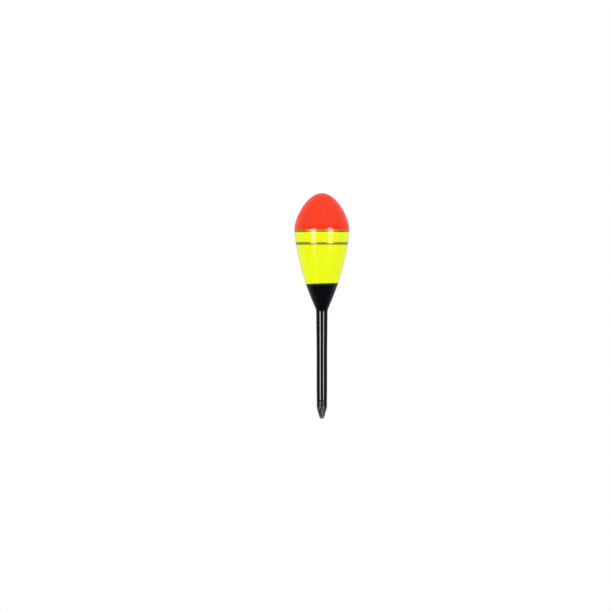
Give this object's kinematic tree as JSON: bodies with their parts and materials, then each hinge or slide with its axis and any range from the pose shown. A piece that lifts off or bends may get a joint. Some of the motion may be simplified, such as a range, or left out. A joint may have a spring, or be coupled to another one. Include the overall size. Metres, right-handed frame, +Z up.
{
  "type": "bobber float",
  "caption": "Egg-bodied stick float: red crown, yellow body with gold lines, black dipped skirt and a slim stem with a tapered foot for line sleeves.",
  "frame": {"origin": "the rounded tip of the foot, on the float's axis", "axes": "+Z up the float's axis from the foot to the crown; X and Y are alike, because every piece is a body of revolution"},
  "size_m": [0.0246, 0.0246, 0.1],
  "materials": {
    "balsa": "sanded end and long grain",
    "white_undercoat": "matt",
    "red_lacquer": "fluorescent, clear-lacquered gloss",
    "yellow_lacquer": "fluorescent, clear-lacquered gloss",
    "gold_paint": "bronze-powder paint, satin",
    "black_lacquer": "dipped gloss",
    "black_tube": "extruded",
    "clear_glue": "cured resin",
    "satin_foot": "satin, moulded"
  },
  "bodies": {
    "root": {"body_core": "balsa", "undercoat": "white_undercoat", "crown_coat": "red_lacquer", "yellow_coat": "yellow_lacquer", "upper_gold_line": "gold_paint", "lower_gold_line": "gold_paint", "black_dip": "black_lacquer", "stem_tube": "black_tube", "glue_line": "clear_glue", "foot_plug": "satin_foot"}
  },
  "joints": []
}
